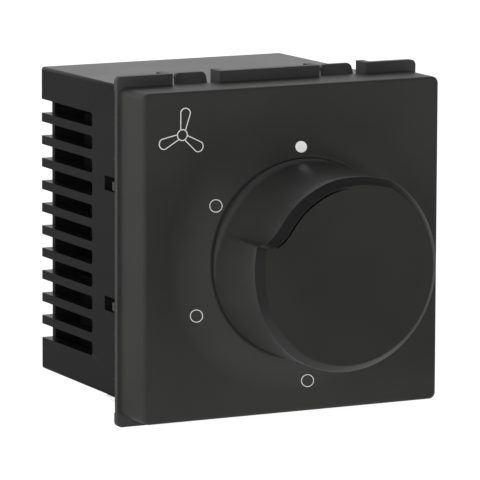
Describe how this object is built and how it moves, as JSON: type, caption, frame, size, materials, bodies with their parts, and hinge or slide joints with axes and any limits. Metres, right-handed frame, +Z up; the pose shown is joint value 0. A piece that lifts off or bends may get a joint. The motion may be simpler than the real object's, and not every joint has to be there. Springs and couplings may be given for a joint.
{
  "type": "fan speed control switch",
  "caption": "Snap-in fan speed control module: square cover with a rotary step knob, vented rear housing and two screw terminals.",
  "frame": {"origin": "centre of the module in the plane where the rear ends of the flange walls seat on the support frame", "axes": "+X to the right seen from the front, +Y into the wall, +Z up; the cover faces -Y"},
  "size_m": [0.0458, 0.0569, 0.048],
  "materials": {
    "cover_black": "satin",
    "knob_black": "satin",
    "body_black": "fine matt",
    "pale_grey": "satin",
    "white_print": "printed ink",
    "spring_steel": "bright",
    "spindle_metal": "turned",
    "zinc_plated": "zinc plated",
    "wheel_nylon": "natural nylon",
    "contact_brass": "bright",
    "switch_plastic": "matt",
    "wafer_laminate": "laminate",
    "board_green": "solder mask",
    "capacitor_case": "moulded",
    "resistor_glaze": "glazed"
  },
  "bodies": {
    "module": {"board_screw_1": "zinc_plated", "board_screw_2": "zinc_plated", "board_screw_3": "zinc_plated", "board_screw_4": "zinc_plated", "bush_nut": "zinc_plated", "bush_washer": "zinc_plated", "capacitor_large": "capacitor_case", "capacitor_small": "capacitor_case", "carrier_frame": "body_black", "circuit_board": "board_green", "common_contact": "contact_brass", "contact_off": "contact_brass", "contact_speed_1": "contact_brass", "contact_speed_2": "contact_brass", "contact_speed_3": "contact_brass", "contact_speed_4": "contact_brass", "contact_speed_5": "contact_brass", "cover_plate": "cover_black", "detent_spring": "spring_steel", "fan_symbol": "white_print", "mark_dot": "white_print", "mark_rings": "white_print", "rear_housing": "body_black", "resistor_1": "resistor_glaze", "resistor_2": "resistor_glaze", "resistor_3": "resistor_glaze", "snap_wedge_left": "pale_grey", "snap_wedge_right": "pale_grey", "switch_front": "switch_plastic", "switch_screw_1": "zinc_plated", "switch_screw_2": "zinc_plated", "switch_wafer": "wafer_laminate", "terminal_cage_1": "contact_brass", "terminal_cage_2": "contact_brass"},
    "control": {"knob": "knob_black", "knob_spring": "spring_steel", "spindle": "spindle_metal", "detent_wheel": "wheel_nylon", "wiper_arm": "contact_brass"},
    "detent": {"detent_ball": "spring_steel"},
    "clamp_1": {"clamp_plate_1": "zinc_plated"},
    "screw_1": {"terminal_screw_1": "zinc_plated"},
    "clamp_2": {"clamp_plate_2": "zinc_plated"},
    "screw_2": {"terminal_screw_2": "zinc_plated"}
  },
  "joints": [
    {"name": "knob_turn", "type": "hinge", "parent": "module", "child": "control", "pos_m": [0, -0.02, -0.0007], "axis": [0, 1, 0], "range_deg": [0, 300]},
    {"name": "detent_slide", "type": "slide", "parent": "module", "child": "detent", "axis": [0, 0, 1], "range_m": [-0.0006, 0], "stiffness_N_per_m": 600, "springref_m": -0.0025, "deforming": ["detent_spring"]},
    {"name": "clamp_1_slide", "type": "slide", "parent": "module", "child": "clamp_1", "axis": [0, 0, 1], "range_m": [0, 0.0018]},
    {"name": "screw_1_turn", "type": "hinge", "parent": "clamp_1", "child": "screw_1", "pos_m": [-0.0085, 0.0243, -0.018], "axis": [0, 0, 1], "range_deg": [0, 1080]},
    {"name": "clamp_2_slide", "type": "slide", "parent": "module", "child": "clamp_2", "axis": [0, 0, 1], "range_m": [0, 0.0018]},
    {"name": "screw_2_turn", "type": "hinge", "parent": "clamp_2", "child": "screw_2", "pos_m": [0.0085, 0.0243, -0.018], "axis": [0, 0, 1], "range_deg": [0, 1080]}
  ],
  "couplings": [
    {"joint": "screw_1_turn", "follows": "clamp_1_slide", "rad_per_m": 10472},
    {"joint": "screw_2_turn", "follows": "clamp_2_slide", "rad_per_m": 10472}
  ]
}
